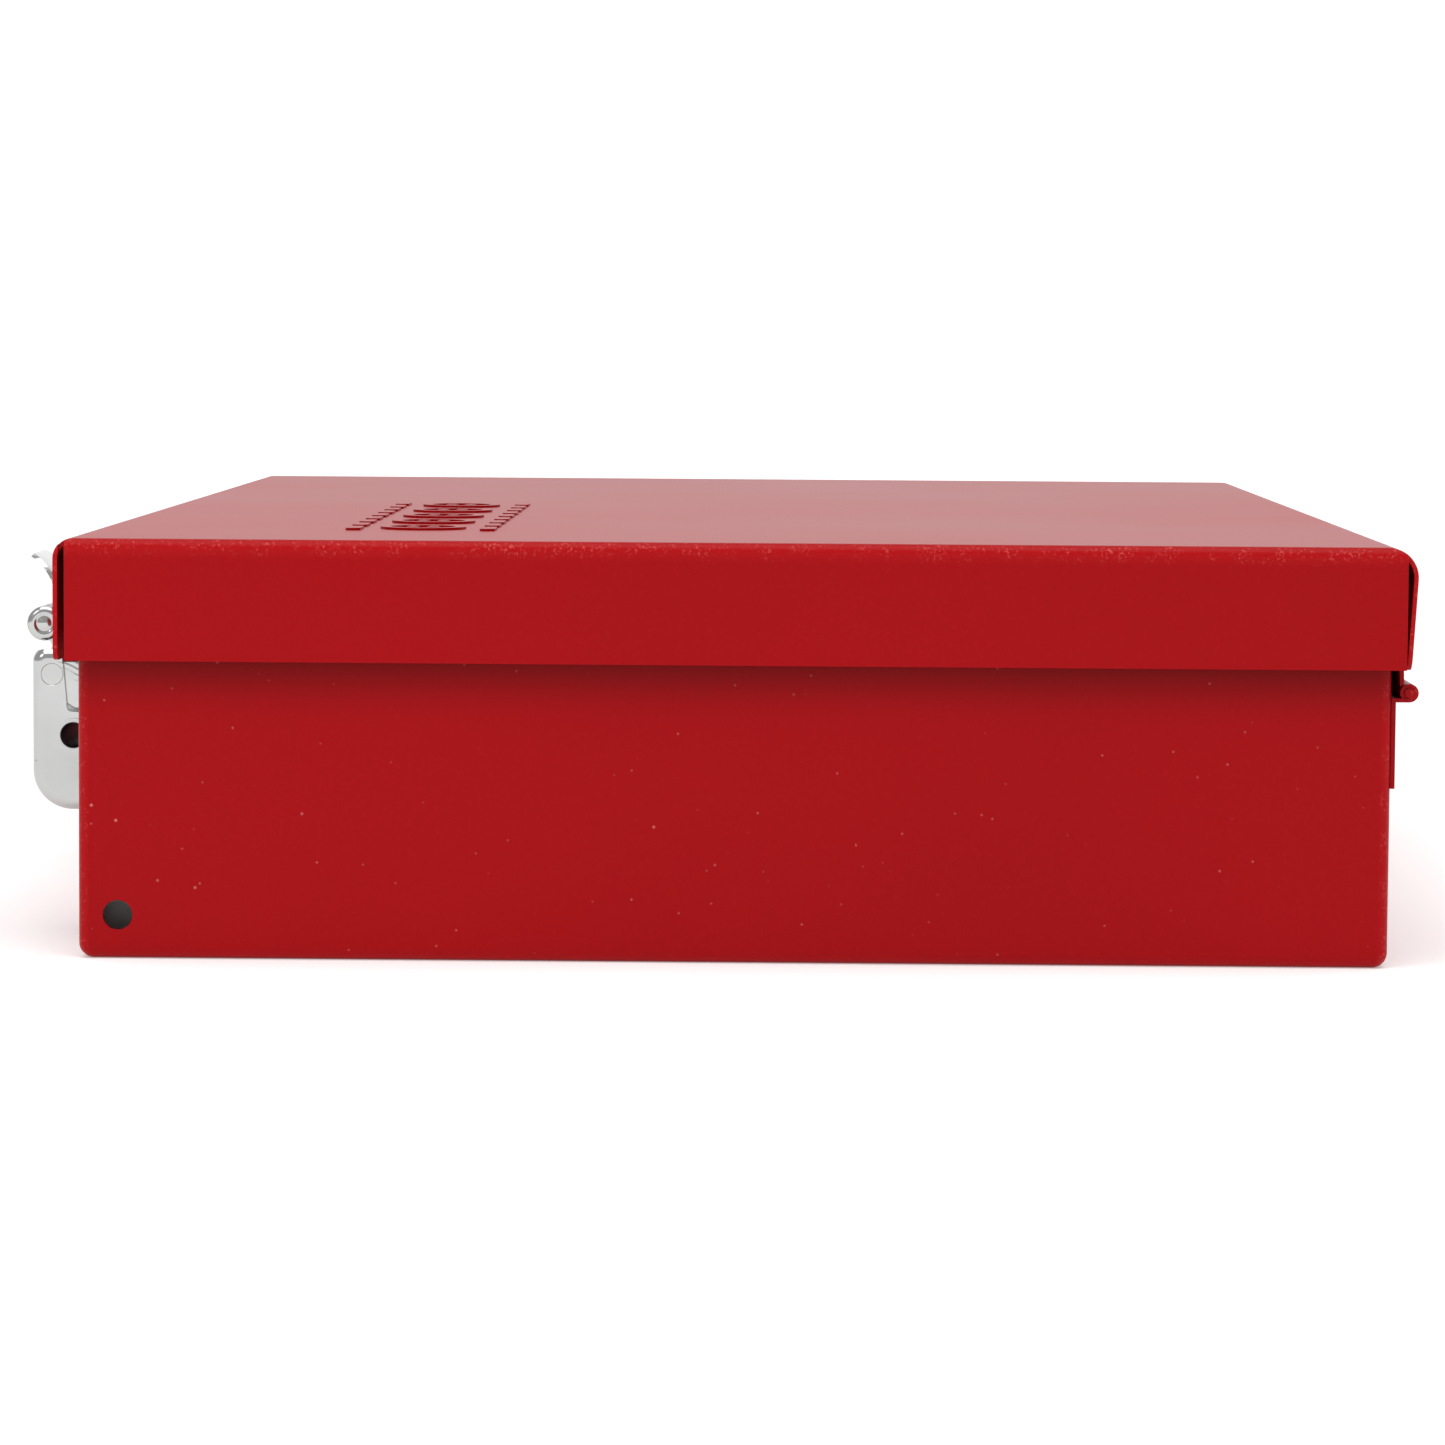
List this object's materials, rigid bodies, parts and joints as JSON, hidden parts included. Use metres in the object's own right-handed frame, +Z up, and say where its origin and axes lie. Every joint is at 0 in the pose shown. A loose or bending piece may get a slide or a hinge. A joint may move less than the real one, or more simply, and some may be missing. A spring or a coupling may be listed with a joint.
{
  "type": "sewing box with trays",
  "caption": "Flat red sheet-steel sewing box with a skirted piano-hinged lid, front drawbolts, a folding bail handle, a sliding divided till and lift-out divided trays.",
  "frame": {"origin": "underside of the pan, at the middle of its footprint", "axes": "+X along the hinge, towards the owner's right; -Y is the latched front, +Y the hinged rear; +Z up"},
  "size_m": [0.4092, 0.2829, 0.0852],
  "materials": {
    "red_paint": "semi-gloss powder coat",
    "nickel": "bright nickel plate",
    "rivet_steel": "plain",
    "grip_plastic": "moulded matte",
    "tray_paint": "light grey enamel"
  },
  "bodies": {
    "case": {"body_pan": "red_paint", "left_tray_runner": "red_paint", "right_tray_runner": "red_paint", "hinge_lower_leaf": "red_paint", "hinge_pin": "red_paint", "left_latch_base": "nickel", "right_latch_base": "nickel", "left_latch_pivot_rivets": "nickel", "right_latch_pivot_rivets": "nickel", "latch_base_rivets": "rivet_steel", "left_handle_bracket": "nickel", "right_handle_bracket": "nickel", "handle_rivets": "rivet_steel"},
    "lid": {"lid_shell": "red_paint", "hinge_upper_leaf": "red_paint", "left_keeper": "nickel", "right_keeper": "nickel", "keeper_rivets": "rivet_steel"},
    "left_lever": {"left_latch_lever": "nickel", "left_latch_link_pin": "nickel"},
    "left_hook": {"left_latch_link": "nickel"},
    "right_lever": {"right_latch_lever": "nickel", "right_latch_link_pin": "nickel"},
    "right_hook": {"right_latch_link": "nickel"},
    "handle": {"handle_bail": "nickel", "handle_grip": "grip_plastic"},
    "till": {"till_pan": "tray_paint", "till_long_divider": "tray_paint", "till_cross_dividers": "tray_paint"},
    "front_tray": {"front_tray": "tray_paint", "front_tray_dividers": "tray_paint"},
    "rear_tray": {"rear_tray": "tray_paint", "rear_tray_dividers": "tray_paint"}
  },
  "joints": [
    {"name": "lid_hinge", "type": "hinge", "parent": "case", "child": "lid", "pos_m": [0, 0.1351, 0.0554], "axis": [-1, 0, 0], "range_deg": [0, 175]},
    {"name": "left_latch_lever", "type": "hinge", "parent": "case", "child": "left_lever", "pos_m": [-0.157, -0.1405, 0.0553], "axis": [-1, 0, 0], "range_deg": [0, 90]},
    {"name": "left_latch_hook", "type": "hinge", "parent": "left_lever", "child": "left_hook", "pos_m": [-0.157, -0.1361, 0.0428], "axis": [-1, 0, 0], "range_deg": [-108, 0]},
    {"name": "right_latch_lever", "type": "hinge", "parent": "case", "child": "right_lever", "pos_m": [0.157, -0.1405, 0.0553], "axis": [-1, 0, 0], "range_deg": [0, 90]},
    {"name": "right_latch_hook", "type": "hinge", "parent": "right_lever", "child": "right_hook", "pos_m": [0.157, -0.1361, 0.0428], "axis": [-1, 0, 0], "range_deg": [-108, 0]},
    {"name": "handle_swing", "type": "hinge", "parent": "case", "child": "handle", "pos_m": [0, -0.1384, 0.048], "axis": [-1, 0, 0], "range_deg": [0, 150]},
    {"name": "till_slide", "type": "slide", "parent": "case", "child": "till", "axis": [0, -1, 0], "range_m": [-0.1334, 0]},
    {"name": "front_tray_lift", "type": "slide", "parent": "case", "child": "front_tray", "axis": [0, 0, 1], "range_m": [0, 0.0055]},
    {"name": "rear_tray_lift", "type": "slide", "parent": "case", "child": "rear_tray", "axis": [0, 0, 1], "range_m": [0, 0.018]}
  ],
  "couplings": [
    {"joint": "left_latch_hook", "follows": "left_latch_lever", "ratio": -1.2},
    {"joint": "right_latch_hook", "follows": "right_latch_lever", "ratio": -1.2}
  ]
}
